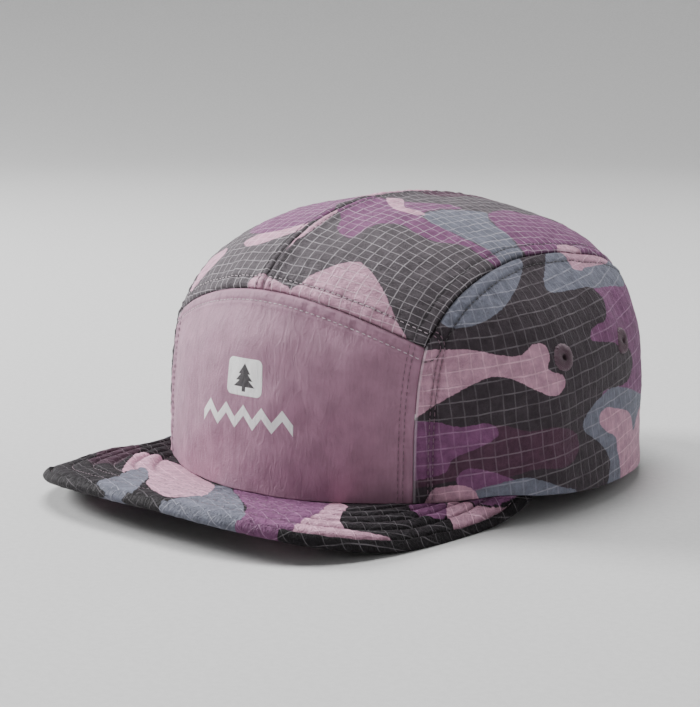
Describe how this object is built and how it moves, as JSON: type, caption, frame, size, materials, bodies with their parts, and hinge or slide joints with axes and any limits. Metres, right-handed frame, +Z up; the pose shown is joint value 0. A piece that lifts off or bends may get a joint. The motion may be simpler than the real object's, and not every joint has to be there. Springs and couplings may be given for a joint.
{
  "type": "five panel cap",
  "caption": "Soft five panel cap with a plain front, camouflage top and side panels, a short flat brim, air holes and a strap across the back opening.",
  "frame": {"origin": "on the surface that the cap stands on, under the middle of its footprint", "axes": "+Z up, -Y towards the brim, +X towards the wearer's left"},
  "size_m": [0.182, 0.2398, 0.1094],
  "materials": {
    "plain_cloth": "crinkled mauve nylon, matt",
    "camouflage_cloth": "ripstop nylon with a camouflage print in charcoal, pink, purple and blue-grey",
    "thread": "embroidered thread",
    "webbing": "woven nylon webbing with a plain plastic clasp"
  },
  "bodies": {
    "root": {"front_panel": "plain_cloth", "side_panel_left": "camouflage_cloth", "side_panel_right": "camouflage_cloth", "top_panel_left": "camouflage_cloth", "top_panel_right": "camouflage_cloth", "brim": "camouflage_cloth", "back_strap": "webbing", "eyelet_left_front": "thread", "eyelet_left_back": "thread", "eyelet_right_front": "thread", "eyelet_right_back": "thread"}
  },
  "joints": []
}
